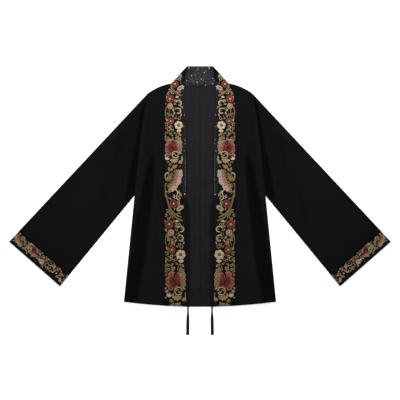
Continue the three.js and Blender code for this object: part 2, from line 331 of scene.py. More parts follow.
body_cloth = woven("body_cloth", *BODY_BLACK)
outside_cloth = woven("outside_cloth", *BODY_BLACK, shaded=False)
sleeve_cloth = {}
for side, sign in SIDES.items():
    sleeve_cloth[side] = woven(f"sleeve_cloth_{side}", *SLEEVE_BLACK, turn=-sign * SLEEVE_TURN)
band_cloth = woven("band_cloth", (8, 8, 9), (12, 12, 13))
ribbon_satin = woven("ribbon_satin", (8, 7, 8), (12, 11, 12), roughness=0.5, gloss=0.06,
                     pitch=0.5 * MM, shaded=False)
for tie in ties:
    tie.data.materials.append(ribbon_satin.material)
print("finishes so far:", [material.name for material in bpy.data.materials])

# %% [markdown]
# ### Inside of the back and of the collar
# The back shows its inside, which is smoother and lighter than the outside, and darker at the
# centre seam. Towards the hem it is painted darker, as painted shade where the light falls off.
# The inside of the collar has silver specks, each a cell of its own in a Voronoi texture. They
# thin out towards its two upper corners, where the collar is handled most. A real speck is a
# flake too thin and small to model, so a texture does it.


# %% Mix the inside finishes
def inside_back():
    finish = Finish("inside_back", 0.65, 0.08)
    place = finish.place()
    parts = finish.parts_of(place)
    # Painted shade: the inside darkens towards the hem, where the light falls off.
    painted_light_to_collar = finish.spread(parts["Y"], -0.38, 0.2)
    colour = finish.blend(painted_light_to_collar, linear(11.4, 9.4, 11.6), linear(23, 20.6, 23))
    worn = finish.spread(finish.noise(place, 45 * MM, 3), 0.35, 0.75)
    colour = finish.blend(finish.calculate("MULTIPLY", worn, 0.3), colour, linear(32, 30, 32))
    from_seam = finish.spread(finish.calculate("ABSOLUTE", parts["X"]), 0.5 * MM, 2.4 * MM)
    tone = finish.calculate("MULTIPLY_ADD", from_seam, 0.53, 0.477)
    # The back also takes its painted shade beside the band from that attribute.
    tone = finish.calculate("MULTIPLY", finish.attribute("painted_shading_and_tone", "Fac"), tone)
    finish.colour(finish.toned(colour, tone))
    finish.bump(finish.waves(place, "X", 0.7 * MM), 0.08 * MM)
    return finish


def glitter_cloth():
    finish = Finish("glitter_cloth", 0.6, 0.1)
    place = finish.place()
    cells = finish.node("ShaderNodeTexVoronoi", Vector=place, Scale=1 / (1.2 * MM))
    chance = finish.node("ShaderNodeSeparateColor", Color=cells["Color"])["Red"]
    parts = finish.parts_of(place)
    outwards = finish.calculate("ABSOLUTE", parts["X"])
    corner = finish.calculate("MULTIPLY_ADD", parts["Y"], 0.6, outwards)
    share = finish.spread(corner, 0.262, 0.238)
    clouds = finish.spread(finish.noise(place, 9 * MM, 3), 0.3, 0.7)
    cloudiness = finish.calculate("MULTIPLY", clouds, share)
    cloudy = finish.blend(cloudiness, linear(23, 23, 24), linear(33, 33, 36))
    chosen = finish.calculate("MULTIPLY", finish.calculate("GREATER_THAN", chance, 0.8), share)
    speck = finish.calculate("MULTIPLY", finish.calculate("LESS_THAN", cells["Distance"], 0.36), chosen)
    finish.colour(finish.blend(speck, cloudy, linear(132, 132, 138)))
    finish.bump(cells["Distance"], 0.1 * MM)
    return finish


back_finish = inside_back()
collar_finish = glitter_cloth()
print("inside finishes:", back_finish.material.name, collar_finish.material.name)

# %% [markdown]
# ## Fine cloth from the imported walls
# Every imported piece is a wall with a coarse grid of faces. A copy of it is merged, its
# triangles are paired into four-sided faces, and a subdivision surface rounds the grid. The
# cut edges are creased first, so that the outline and the thickness stay true. Modelling each
# panel from a new plane would also work, but then its outline would have to be matched again.

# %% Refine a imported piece
SAME_PLACE = 0.002 * MM  # points closer than this are one point
CUT_EDGE = math.radians(75)  # an edge sharper than this is a cut edge of the cloth


def copy_of(node, name):
    """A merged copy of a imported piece, left in edit mode."""
    only(frame["nodes"][node])
    bpy.ops.object.duplicate()
    piece = bpy.context.object
    bpy.ops.object.parent_clear(type="CLEAR_KEEP_TRANSFORM")
    piece.name = piece.data.name = name
    piece.data.materials.clear()
    bpy.ops.object.mode_set(mode="EDIT")
    bpy.ops.mesh.select_mode(type="EDGE")
    bpy.ops.mesh.select_all(action="SELECT")
    bpy.ops.mesh.remove_doubles(threshold=SAME_PLACE)
    return piece


def refined(node, name, levels):
    """A rounded, finely divided copy of a packed wall."""
    piece = copy_of(node, name)
    bpy.ops.mesh.tris_convert_to_quads(face_threshold=math.radians(30),
                                       shape_threshold=math.radians(70))
    bpy.ops.mesh.select_all(action="DESELECT")
    bpy.ops.mesh.edges_select_sharp(sharpness=CUT_EDGE)
    bpy.ops.transform.edge_crease(value=1)
    bpy.ops.object.mode_set(mode="OBJECT")
    rounder = piece.modifiers.new("rounder", "SUBSURF")
    rounder.levels = rounder.render_levels = levels
    bpy.ops.object.modifier_apply(modifier=rounder.name)
    smooth(50)
    return piece


def gridded(node, name, step):
    """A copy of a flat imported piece, its two faces cut into squares of one step."""
    piece = copy_of(node, name)
    bpy.ops.mesh.dissolve_limited(angle_limit=math.radians(1))
    low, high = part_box(node)
    for axis, normal in ((0, (1, 0, 0)), (1, (0, 1, 0))):
        cuts = max(1, round((high[axis] - low[axis]) / step))
        for i in range(1, cuts):
            place = Vector((0, 0, 0))
            place[axis] = low[axis] + (high[axis] - low[axis]) * i / cuts
            bpy.ops.mesh.select_all(action="SELECT")
            bpy.ops.mesh.bisect(plane_co=place, plane_no=normal)
    bpy.ops.object.mode_set(mode="OBJECT")
    smooth(40)
    return piece


def points_of(piece):
    places = np.empty(len(piece.data.vertices) * 3)
    piece.data.vertices.foreach_get("co", places)
    return places.reshape(-1, 3)


def put_points(piece, places):
    piece.data.vertices.foreach_set("co", places.ravel())
    piece.data.update()


# %% [markdown]
# ## Folds and creases
# The imported walls hold the largest folds. On top of those come the small ones: creases that
# fan out below the armpit, slack across the sleeve, and ripples along the hem. Each is a soft
# ridge or trough along a line, given in a table. A height is added to every point of the upper
# layer, and the layer that rests on the floor stays where it is.

# %% Place the creases
UPPER_LAYER, LAYER_GAP = 1.8 * MM, 1.6 * MM  # where lifting starts, and how far above it is full
CREASES = [  # start, end, height and half width
    ((204, 66), (150, -30), 0.9, 9), ((206, 20), (160, -110), -0.8, 8),
    ((208, -20), (176, -150), 0.8, 8), ((196, 110), (140, 60), 0.7, 10),
    ((188, 190), (150, 120), -0.6, 10), ((170, 250), (128, 200), 0.6, 12),
    ((212, 10), (262, -70), 1.1, 8), ((214, 40), (300, -60), -0.9, 9),
    ((216, 75), (318, -20), 1.0, 10), ((240, 120), (330, 30), -0.7, 11),
    ((270, 60), (352, -80), 0.8, 10), ((330, 90), (300, 0), 0.9, 12),
    ((372, 20), (330, -90), -0.8, 12), ((420, -20), (372, -150), 0.9, 13),
    ((470, -80), (420, -190), -0.8, 12), ((520, -130), (470, -225), 0.7, 12),
    ((400, -110), (452, -262), 0.7, 10), ((300, 150), (268, 60), 0.7, 12),
    ((125, -150), (134, -400), 0.5, 12), ((152, -220), (160, -400), -0.6, 10),
    ((180, -260), (190, -400), 0.7, 9), ((130, 40), (124, -120), -0.4, 14),
    ((222, -180), (230, -400), 0.6, 8), ((140, -60), (146, -260), 0.4, 12),
]


def crease_height(x, y):
    """Height of all the creases at the given points, in metres."""
    x, y = np.abs(x) / MM, y / MM
    total = np.zeros_like(x)
    for (x0, y0), (x1, y1), height, half_width in CREASES:
        length = math.hypot(x1 - x0, y1 - y0)
        along = ((x - x0) * (x1 - x0) + (y - y0) * (y1 - y0)) / length**2
        across = ((x - x0) * (y1 - y0) - (y - y0) * (x1 - x0)) / length / half_width
        inside = np.clip(along, 0, 1)
        total += height * np.sin(np.pi * inside) ** 1.5 * np.exp(-(across**2) * 2)
    return total * MM


def add_creases(piece, slow_waves):
    """Adds the creases, and two slow waves that cross, of the given height in mm."""
    places = points_of(piece)
    x, y, z = places.T
    lifted = np.clip((z - UPPER_LAYER) / LAYER_GAP, 0, 1)
    drift = slow_waves * np.sin(x * 61 + y * 23) * np.sin(y * 47 - x * 19 + 1.3) * MM
    places[:, 2] = z + lifted * (crease_height(x, y) + drift)
    put_points(piece, places)


print(len(CREASES), "creases on each side")

# %% [markdown]
# ### Sewn together
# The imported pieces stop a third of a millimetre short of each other. A sewn seam has no such
# slit, so each sleeve, band and cuff is drawn in by that much and meets its neighbour.

# %% Make the fronts, bands, sleeves and cuffs
SLIT = 0.3 * MM
TAKEN_UP = {  # how far each part is moved
    "front": (0, 0, 0), "band": (SLIT, 0, 0), "sleeve": (-SLIT, 0, 0),
    "cuff": (-1.7 * SLIT, 0.75 * SLIT, 0),
}
cloth = {}
for side, sign in SIDES.items():
    for part, finish, slot, slow_waves in (
        ("front", body_cloth, "body_cloth", 0.25),
        ("band", band_cloth, "embroidered_band", 0.05),
        ("sleeve", sleeve_cloth[side], "body_cloth", 0.25),
        ("cuff", sleeve_cloth[side], "embroidered_band", 0.05),
    ):
        piece = refined(f"{part}_{side}", f"{part}_cloth_{side}", 2)
        add_creases(piece, slow_waves)
        put_points(piece, points_of(piece) + np.array(TAKEN_UP[part]) * (sign, 1, 1))
        piece.data.materials.append(finish.material)
        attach(piece, "root")
        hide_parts(f"{part}_{side}")
        cloth[part, side] = piece
        print(piece.name, len(piece.data.polygons), "faces")

# %% [markdown]
# ## Back panels and collar stand
# The back lies open to view between the bands. Its two panels are cut into small squares, so
# that they can carry a few soft waves, and they are drawn together at the centre seam. What
# shows is the inside of the cloth. The side that rests on the floor is its plain outside, so
# the faces that look down get a second material.

# %% Make the backs and the stand
BACK_GRID, STAND_GRID = 9 * MM, 6 * MM
BACK_LOW, BACK_HIGH, FADE = -0.384, 0.31, 0.05  # where the waves end, and over what length
SEAM_GAP, SEAM_FLAT = 0.2 * MM, 2 * MM  # how near the seam points are drawn to it, and flattened
BACK_WAVES = [(9, 7, 0.9), (21, 5, 0.6), (-12, 8, 0.8), (-24, 4, 0.5)]  # x, half width and height


def back_height(x, y):
    """Height of the waves of the back at the given points, in metres."""
    total = np.zeros_like(x)
    for centre, half_width, height in BACK_WAVES:
        wander = 3 * np.sin(y * 9 + centre)
        swell = 0.6 + 0.4 * np.sin(y * 14 + centre)
        total += height * np.exp(-(((x / MM - centre - wander) / half_width) ** 2)) * swell
    fade = np.clip((y - BACK_LOW) / FADE, 0, 1) * np.clip((BACK_HIGH - y) / FADE, 0, 1)
    return total * fade * MM


for side in SIDES:
    piece = gridded(f"back_{side}", f"back_cloth_{side}", BACK_GRID)
    places = points_of(piece)
    x, y, z = places.T
    places[:, 0] = np.where(np.abs(x) < SEAM_GAP, 0, x)
    places[:, 2] = z + back_height(x, y) * np.clip(np.abs(x) / SEAM_FLAT, 0, 1)
    put_points(piece, places)
    cloth["back", side] = piece
stand = gridded("collar_stand", "collar_stand_cloth", STAND_GRID)
put_points(stand, points_of(stand) - (0, SLIT, 0))
cloth["collar", "centre"] = stand
for key, node, finish, slot in (
    (("back", "left"), "back_left", back_finish, "back_cloth"),
    (("back", "right"), "back_right", back_finish, "back_cloth"),
    (("collar", "centre"), "collar_stand", collar_finish, "collar_cloth"),
):
    piece = cloth[key]
    piece.data.materials.append(finish.material)
    piece.data.materials.append(outside_cloth.material)
    for face in piece.data.polygons:
        face.material_index = 1 if face.normal.z < -0.5 else 0
    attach(piece, "root")
    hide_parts(node)
    print(piece.name, len(piece.data.polygons), "faces")

# %% [markdown]
# ## Seams and shade
# A seam pulls both cloths down into a shallow groove, and the groove gets painted shade. The
# cloth also gets painted shade where it rolls under at the side, in the long trough down the
# sleeve and in the shadow beside the band, and painted highlights on the flanks and along the
# edges of the folds. The plain cloth of the bands is made lighter in tone. These are worked out
# for every point: the groove from the distance to the neighbouring piece, and the rest from
# lines that are listed. All of it is kept in an attribute named painted_shading_and_tone, which
# the finishes read.

# %% Sink the seams and shade the cloth
GROOVE_DEPTH, GROOVE_REACH, GROOVE_SHADE = 0.7 * MM, 2.2 * MM, 0.3
RESTING = 1.4 * MM  # points below this rest on the floor and stay there
# Painted light and shade: a change below 0 is painted shade, one above 0 a painted highlight, except on
# the band, where it makes the plain cloth lighter.
SHADES = {  # for each part: change of tone, and a route of x, y and half width
    "front": [
        (-0.22, [(156, 140, 8), (164, 67, 11), (172, -20, 12)]),
        (-0.64, [
            (151, 92, 6), (155, 58, 13), (171, -45, 20), (187, -141, 24), (198, -237, 25),
            (216, -333, 23), (220, -384, 22),
        ]),
        (0.08, [(135, 280, 30), (140, -380, 40)]),
        (0.14, [
            (138, 58, 8), (147, -45, 10), (160, -141, 13), (169, -237, 14), (187, -333, 12),
            (191, -384, 12),
        ]),
        (0.2, [
            (168, 262, 7), (178, 200, 7), (186, 115, 8), (191, 58, 8), (198, 3, 8), (203, -45, 7),
        ]),
    ],
    "sleeve": [
        (-0.1, [(190, 240, 16), (228, 165, 32), (250, 90, 26)]),
        (-0.66, [(176, 262, 9), (194, 147, 12), (207, 67, 14), (221, -5, 16), (229, -34, 9)]),
        (-0.1, [(252, 200, 8), (266, 80, 18), (298, 3, 21), (326, -74, 21), (346, -138, 14)]),
        (-0.1, [(255, 180, 5), (266, 80, 11), (298, 3, 13), (324, -66, 12), (338, -110, 6)]),
        (0.45, [(262, 184, 18), (280, 166, 18)]),
        (0.10, [(300, 90, 30), (330, 40, 40), (380, -30, 44)]),
        (0.12, [(300, -90, 14), (325, -140, 20)]),
        (-0.2, [(580, -150, 60), (400, -300, 60)]),
    ],
    "back": [
        (-0.5, [(40, -384, 11), (40, -80, 11), (43, -44, 5)]),
        (0.12, [(9, -384, 5), (11, -100, 5), (9, 300, 5)]),
    ],
    "band": [
        (1.7, [(44, -28, 11), (44, 240, 11), (50, 320, 11)]),
        (0.74, [(42, -384, 12), (42, -44, 12)]),
        (0.9, [(80, 0, 40), (80, 330, 40)]),
    ],
}
SEAMS = [("front", "sleeve"), ("front", "band"), ("sleeve", "cuff")]


def shade_along(route, x, y):
    """How much of a shade reaches each point: 1 on its route, and 0 well outside its half width."""
    most = np.zeros_like(x)
    for (x0, y0, w0), (x1, y1, w1) in zip(route, route[1:]):
        dx, dy = x1 - x0, y1 - y0
        share = np.clip(((x - x0) * dx + (y - y0) * dy) / (dx * dx + dy * dy), 0, 1)
        distance = np.hypot(x - x0 - share * dx, y - y0 - share * dy)
        most = np.maximum(most, np.exp(-((distance / (w0 + share * (w1 - w0))) ** 8)))
    return most


def tree_of(piece):
    """The faces of a piece, sorted so that the nearest one is found quickly."""
    faces = [list(face.vertices) for face in piece.data.polygons]
    return BVHTree.FromPolygons(points_of(piece).tolist(), faces)


def seam_distance(piece, tree):
    return np.array([tree.find_nearest(place)[3] for place in points_of(piece).tolist()])


trees = {key: tree_of(piece) for key, piece in cloth.items()}
for (part, side), piece in cloth.items():
    if part == "collar":
        continue
    places = points_of(piece)
    x, y = np.abs(places[:, 0]) / MM, places[:, 1] / MM
    painted_shading_and_tone = np.ones(len(places))
    for change, route in SHADES.get(part, []):
        painted_shading_and_tone *= 1 + change * shade_along(route, x, y)
    for pair in SEAMS:
        if part not in pair:
            continue
        other = pair[1 - pair.index(part)]
        groove = np.exp(-((seam_distance(piece, trees[other, side]) / GROOVE_REACH) ** 2))
        places[:, 2] -= GROOVE_DEPTH * groove * (places[:, 2] > RESTING)
        # Painted shade in the seam's groove.
        painted_shading_and_tone *= 1 - GROOVE_SHADE * groove
    put_points(piece, places)
    piece.data.attributes.new("painted_shading_and_tone", "FLOAT", "POINT").data.foreach_set("value", painted_shading_and_tone)
    print(piece.name, "tone from", round(painted_shading_and_tone.min(), 2), "to", round(painted_shading_and_tone.max(), 2))

# %% [markdown]
# ## Embroidery
# The trim is dense hand-guided embroidery: satin-stitched petals and leaves, each edged with a
# fine cord, and scrolls, rings and knots between them. The same trim runs down both bands and
# round both cuffs. A flower in relief could be a bump, but its edges would vanish from the
# side, so every petal is a small dome, every outline a cord and every knot a bead of thread.
# There are thousands of them, so they are built as arrays of points and joined in one mesh for
# each stretch of trim. Each form is first made flat, in millimetres, and later laid on cloth.

# %% Thread colours
DISPLAY_COLOURS = {
    "deep": (72, 22, 18), "red": (128, 44, 37), "rose": (148, 86, 74), "pink": (178, 138, 120),
    "blush": (190, 168, 156), "white": (200, 193, 182), "cream": (194, 180, 146),
    "straw": (174, 152, 104), "gold": (128, 105, 58), "tan": (138, 106, 76),
    "peach": (172, 128, 98), "olive": (94, 86, 44), "moss": (62, 62, 34), "lime": (138, 138, 74),
    "black": (14, 14, 15), "coal": (4, 4, 4),
}
THREAD = {name: np.array(linear(*value)) for name, value in DISPLAY_COLOURS.items()}
PAIRS = {  # inner colour, outer colour and outline of a stitched form
    "red": ("deep", "red", "rose"), "rosy": ("deep", "rose", "pink"),
    "crimson": ("deep", "red", "deep"), "pink": ("red", "pink", "straw"),
    "shell": ("pink", "blush", "white"), "veil": ("deep", "pink", "blush"),
    "crest": ("rose", "blush", "gold"), "creamy": ("rose", "cream", "gold"),
    "sunny": ("rose", "peach", "cream"), "peach": ("red", "tan", "peach"),
    "tan": ("deep", "tan", "straw"), "gold": ("moss", "gold", "cream"),
    "straw": ("gold", "straw", "cream"), "cream": ("straw", "cream", "gold"),
    "ivory": ("white", "cream", "straw"), "white": ("blush", "white", "cream"),
    "olive": ("moss", "olive", "straw"), "lime": ("moss", "lime", "straw"),
}
CURLS = {  # main cord and edge of a curl
    "cream": ("cream", "gold"), "straw": ("cream", "olive"), "gold": ("straw", "olive"),
    "lime": ("straw", "lime"),
}
print(len(THREAD), "colours of thread in", len(PAIRS), "sets")


# %% The stitched forms
def direction(degrees):
    """The flat direction of an angle, or of each angle of many."""
    turn = np.radians(degrees)
    return np.stack([np.cos(turn), np.sin(turn)], axis=-1)


def sideways(vectors):
    """Each flat vector, turned a quarter turn to the left."""
    return np.stack([-vectors[..., 1], vectors[..., 0]], axis=-1)


class Stitching:
    """Collects closed forms of thread, as points, faces, colours and the run of the thread."""

    def __init__(self, brightness=1.0):
        self.brightness = brightness
        self.points, self.faces, self.colours, self.runs = [], [], [], []
        self.count = 0

    def form(self, grid, colours, runs, is_round):
        """A grid of points as a tube, or as a dome with a flat underside."""
        rows, columns = grid.shape[:2]
        index = self.count + np.arange(rows * columns).reshape(rows, columns)
        here, ahead = index[:, :-1], index[:, 1:]
        if is_round:
            here, ahead = index, np.roll(index, -1, axis=1)
        quads = np.stack([here[:-1], here[1:], ahead[1:], ahead[:-1]], axis=-1).reshape(-1, 4)
        self.faces += quads.tolist() + [index[0].tolist(), index[-1][::-1].tolist()]
        if not is_round:
            under = np.stack([index[:-1, 0], index[:-1, -1], index[1:, -1], index[1:, 0]], axis=-1)
            self.faces += under.tolist()
        self.points.append(grid.reshape(-1, 3))
        colours = np.broadcast_to(colours * self.brightness, (rows, columns, 4))
        self.colours.append(colours.reshape(-1, 4))
        self.runs.append(runs.reshape(-1, 2))
        self.count += rows * columns

    def cord(self, path, width, colour, lift=0.0):
        """A thread laid along a flat path, thinner at its two ends."""
        path = np.asarray(path, float)
        steps = np.linalg.norm(np.diff(path, axis=0), axis=1)
        along = np.concatenate([[0], np.cumsum(steps)])
        tangent = np.gradient(path, axis=0)
        tangent /= np.linalg.norm(tangent, axis=1, keepdims=True) + 1e-9
        taper = np.clip(np.minimum(along, along[-1] - along) / (1.2 * width) + 0.45, 0, 1)[:, None]
        turn = np.linspace(0, 2 * np.pi, 6)[None, :-1] + 0.3
        out = np.cos(turn) * width / 2 * taper
        up = lift + (np.sin(turn) + 0.55) * width * 0.42 * taper
        flat = path[:, None] - sideways(tangent)[:, None] * out[..., None]
        grid = np.dstack([flat, up])
        runs = np.dstack([turn * width / 2 + 0 * out, along[:, None] + 0 * out])
        self.form(grid, THREAD[colour], runs, True)

    def petal(self, place, turn, length, width, pair, fullness=1.5, roundness=0.55, rise=1.0,
              lift=0.0, notch=0.0, edged_from=0):
        """A satin-stitched petal that starts at a place, with a cord round its edge or its tip."""
        inner, outer, outline = PAIRS[pair]
        along = np.linspace(0.02, 0.98, 7)[:, None]
        across = np.linspace(-1, 1, 5)[None, :]
        half = width / 2 * np.sin(np.pi * along**fullness) ** roundness * across
        reach = length * along * (1 - notch * along**3 * (1 - np.abs(across)) ** 2)
        ahead = direction(turn)
        flat = np.asarray(place) + reach[..., None] * ahead + half[..., None] * sideways(ahead)
        crown = np.sqrt(1 - across**2) * np.sin(np.pi * (0.14 + 0.72 * along)) ** 0.6
        grid = np.dstack([flat, lift + (rise + 0.2) * crown - 0.2])
        share = np.clip(along * 1.15, 0, 1)[..., None] ** 1.3
        colours = THREAD[inner] * (1 - share) + THREAD[outer] * share + 0 * half[..., None]
        self.form(grid, colours, np.dstack([half + 0 * reach, reach]), False)
        stop = edged_from - 1 if edged_from else None
        edge = np.concatenate([flat[edged_from:, 0], flat[:stop:-1, -1]])
        self.cord(edge, 1.2, outline, lift + 0.15)

    def knot(self, place, size, colour, lift=0.0, rise=1.0):
        """A knot of thread, as a low dome, or with little rise a round patch."""
        ring = -np.linspace(0, 2 * np.pi, 7)[None, :-1]
        radius = size * np.array([1, 0.92, 0.6, 0.15])[:, None]
        height = lift + size * rise * np.array([-0.1, 0.45, 0.85, 0.98])[:, None] + 0 * ring
        x, y = place[0] + radius * np.cos(ring), place[1] + radius * np.sin(ring)
        self.form(np.dstack([x, y, height]), THREAD[colour], np.dstack([ring * radius, height]), True)


def measure(*motifs):
    """Makes each motif once, and prints how many forms of thread it takes."""
    for motif in motifs:
        sample = Stitching()
        motif(sample, np.zeros(2), 20, 0, "cream")
        print(motif.__name__, "takes", len(sample.points), "forms")


# %% [markdown]
# ### Open flowers
# The flowers are common ones, drawn by formula: a ring of petals round knots for a blossom,
# and rings within rings for a peony. A motif takes its place, its size in millimetres, the way
# it points in degrees, and a set of colours.


# %% Flowers seen from above
def ring_of(stitching, place, count, start, turn, length, width, pair, **shape):
    """Petals all round a place, from a distance start."""
    for i in range(count):
        angle = turn + 360 * i / count
        stitching.petal(place + start * direction(angle), angle, length, width, pair, **shape)


def flower(stitching, place, size, turn, pair):
    reach, width = 0.86 * size, 1.06 * size
    ring_of(stitching, place, 5, 0.14 * size, turn, reach, width, pair, notch=0.1, fullness=1.7)
    for i in range(5):
        stitching.knot(place + 0.3 * size * direction(turn + 36 + 72 * i), 0.1 * size, "straw", 0.5)
    stitching.knot(place, 0.25 * size, "white", 0.5)


def blossom(stitching, place, size, turn, pair):
    ring_of(stitching, place, 6, 0.2 * size, turn, 0.8 * size, 0.82 * size, pair, fullness=1.8)
    ring_of(stitching, place, 5, 0.02 * size, turn, 0.34 * size, 0.26 * size, "red", lift=0.5)
    stitching.knot(place, 0.12 * size, "straw", 1.0)


def peony(stitching, place, size, turn, pair):
    """Three layers of petals, which sway a little, and curled petal edges over the whole bloom."""
    tall = np.array([1, 1.18])
    layers = (  # petals, start, length, width, colours, lift
        (10, 0.48, 0.54, 0.58, "rosy", 0.0), (8, 0.24, 0.5, 0.5, "red", 0.4),
        (6, 0.03, 0.42, 0.42, pair, 0.9),
    )
    for count, start, length, width, colours, lift in layers:
        for i in range(count):
            swing = 11 * math.sin(2.4 * i + 5 * lift)
            away = direction(turn + swing + 360 * (i + 0.4 * (lift > 0)) / count) * tall
            stretch = np.linalg.norm(away) * (1 + 0.1 * math.sin(3.1 * i + lift))
            bearing = math.degrees(math.atan2(away[1], away[0])) + swing
            heel, reach = place + size * start * away, size * length * stretch
            stitching.petal(heel, bearing, reach, size * width, colours, lift=lift, notch=0.2,
                            fullness=1.8, roundness=0.5)
    for i in range(15):
        eye = place + size * 0.22 * math.sqrt(i + 0.6) * direction(137.5 * i + turn) * tall
        edge = eye + 0.16 * size * direction(137.5 * i + turn + np.linspace(-100, 100, 9))
        colour = ("deep", "rose")[i % 2] if i < 8 else ("pink", "deep", "blush")[i % 3]
        stitching.cord(edge, 1.3, colour, 1.1 + 0.5 * (i < 5))


measure(flower, blossom, peony)

# %% [markdown]
# ### Flowers from the side, buds and leaves
# A flower seen from the side is a fan of petals that opens from its heel. The large one has
# three ruffles, one behind the other, and each of their petals has a crease in its tip, because
# a plain fan of that size would look like a shell.


# %% Flowers seen from the side
def fan(stitching, place, size, turn, pair, count=4, spread=110, heel=0.0, lift=0.0):
    """Petals side by side, opening from a point or from a heel that is wide across."""
    across = sideways(direction(turn))
    for i in range(count):
        share = 2 * i / (count - 1) - 1
        angle = turn + spread / 2 * share
        reach = size * (1 - 0.12 * abs(share))
        bulge = 0.42 * heel * (1 - share**2) * direction(turn)
        start = place + heel * share * across + bulge + 0.1 * size * direction(angle)
        width = (1.7 * size + 2.2 * heel) / count
        stitching.petal(start, angle, 0.9 * reach, width, pair, fullness=1.9, notch=0.12, lift=lift)


def small_leaves(stitching, heel, turns, length, width, lift):
    """The green leaves that hold a flower."""
    for turn in turns:
        stitching.petal(heel, turn, length, width, "olive", roundness=0.9, lift=lift)


def half_blossom(stitching, place, size, turn, pair):
    heel = place - 0.45 * size * direction(turn)
    fan(stitching, heel, 1.3 * size, turn, pair, 5, 130)
    fan(stitching, heel, 0.7 * size, turn, "tan", 3, 70, lift=0.4)
    small_leaves(stitching, heel, (turn - 50, turn + 50), 0.5 * size, 0.26 * size, 0.7)


def ruffle(stitching, path, depth, count, pair, crease, lift):
    """A row of scalloped petals that stand off a path, to its right, each with a crease in its tip."""
    spots = np.linspace(0, len(path) - 1, 2 * count + 1).round().astype(int)[1::2]
    step = np.linalg.norm(np.diff(path, axis=0), axis=1).sum() / count
    sweep = np.radians(np.linspace(-75, 75, 9))[:, None]
    for i, spot in enumerate(spots):
        tangent = path[min(spot + 1, len(path) - 1)] - path[max(spot - 1, 0)]
        bearing = math.degrees(math.atan2(tangent[1], tangent[0])) - 90
        reach = depth * (1 + 0.12 * math.sin(2.6 * i + lift))
        ahead = direction(bearing)
        rim = 0.36 * reach * np.cos(sweep) * ahead + 0.52 * step * np.sin(sweep) * sideways(ahead)
        stitching.cord(path[spot] + 0.4 * reach * ahead + rim, 1.3, crease, lift + 0.75)
        stitching.petal(path[spot], bearing, reach, 1.5 * step, pair, fullness=1.9, notch=0.12,
                        lift=lift, edged_from=4)


def side_peony(stitching, place, size, turn, pair):
    """A bloom seen from the side: ruffles that bow out one behind the other, and a few leaves."""
    ahead = direction(turn)
    along = np.linspace(-1, 1, 25)[:, None]
    rows = (  # half length, place across, bow, depth, petals, colours, crease
        (0.98, -0.12, 0.3, 0.4, 7, pair, "tan"), (0.84, -0.4, 0.24, 0.46, 6, "veil", "rose"),
        (0.7, -0.6, 0.2, 0.42, 5, "tan", "deep"),
    )
    for row, (half, across, bow, depth, count, colours, crease) in enumerate(rows):
        bowed = across + bow * (1 - along**2)
        path = place + size * (half * along * -sideways(ahead) + bowed * ahead)
        ruffle(stitching, path[::-1], depth * size, count, colours, crease, 0.35 * row)
    for swing, share in ((-30, -0.42), (-6, -0.08), (22, 0.3)):
        heel = place - size * (share * sideways(ahead) + 0.86 * ahead)
        small_leaves(stitching, heel, [turn + swing], 0.52 * size, 0.24 * size, 1.0)


def frill(stitching, place, size, turn, pair):
    """A row of small scallops."""
    fan(stitching, place, 0.62 * size, turn, pair, 5, 80, 0.8 * size)


def bud(stitching, place, size, turn, pair):
    heel = place - 0.5 * size * direction(turn)
    fan(stitching, heel, 1.1 * size, turn, pair, 3, 44)
    small_leaves(stitching, heel, (turn - 34, turn + 34), 0.62 * size, 0.3 * size, 0.4)


def spray(stitching, place, size, turn, pair):
    fan(stitching, place - 0.5 * size * direction(turn), size, turn, pair, 3, 84)


def leaf(stitching, place, size, turn, pair):
    """A pointed leaf with a vein."""
    ahead = direction(turn)
    heel = place - 0.5 * size * ahead
    stitching.petal(heel, turn, size, 0.42 * size, pair, fullness=0.95, roundness=1.0, rise=0.7)
    stitching.cord(heel + np.linspace(0.08, 0.86, 6)[:, None] * size * ahead, 0.7, PAIRS[pair][2], 0.75)


def trefoil(stitching, place, size, turn, pair):
    for swing in (-62, 0, 62):
        leaf(stitching, place + 0.42 * size * direction(turn + swing), 0.85 * size, turn + swing, pair)


def oval(stitching, place, size, turn, pair):
    """One long petal with a smaller one on it, inside an oval cord."""
    ahead = direction(turn)
    heel = place - 0.5 * size * ahead
    stitching.petal(heel, turn, size, 0.5 * size, pair, fullness=1.2, roundness=0.6)
    stitching.petal(heel + 0.16 * size * ahead, turn, 0.6 * size, 0.22 * size, "tan", lift=0.7)
    sweep = np.linspace(0, 2 * np.pi, 20)[:, None]
    edge = 0.5 * size * np.cos(sweep) * ahead + 0.25 * size * np.sin(sweep) * sideways(ahead)
    stitching.cord(place + edge, 1.9, PAIRS[pair][2], 0.4)


measure(half_blossom, side_peony, frill, bud, spray, leaf, trefoil, oval)

# %% [markdown]
# ### Curls, rings and stalks
# These are cords laid along a curve: part of a circle whose radius shrinks makes a curl, a wave
# makes a tendril, and an arch makes a stalk. A stout one has a finer cord on either side.


# %% Forms made of cord
def scroll(stitching, place, size, turn, pair):
    """A curl of cord that thins towards its eye, edged with a finer cord on its outside."""
    radius = size * np.linspace(1.0, 0.42, 22)
    curl = place + direction(turn + np.linspace(0, 330, 22)) * radius[:, None]
    main, edge = CURLS[pair]
    stitching.cord(curl, 0.16 * size + 0.8, main)
    if size > 4:
        stitching.cord(place + (curl[:14] - place) * 1.26, 0.9, edge)
    stitching.knot(curl[-1], 0.5 + 0.08 * size, main, 0.2)


def tendril(stitching, place, size, turn, pair):
    """A thin cord in the shape of an S."""
    share = np.linspace(-1, 1, 20)[:, None]
    ahead = direction(turn)
    path = place + size * (share * ahead + 0.24 * np.sin(np.pi * share) * sideways(ahead))
    stitching.cord(path, 2.2, CURLS[pair][0], 0.2)


def ring(stitching, place, size, turn, pair):
    """A wide ring with two small hooks inside."""
    _, main, edge = PAIRS[pair]
    around = direction(turn + np.linspace(0, 344, 22))
    stitching.knot(place, size, "coal", 1.6, 0.12)
    stitching.cord(place + around * size * 0.9, 2.4, main, 1.7)
    stitching.cord(place + around * size * 1.1, 1.0, edge, 1.6)
    for bearing in (turn, turn + 180):
        eye = place + 0.34 * size * direction(bearing)
        hook = 0.25 * size * direction(bearing + np.linspace(-60, 200, 12))
        stitching.cord(eye + hook, 1.5, main, 2.6)


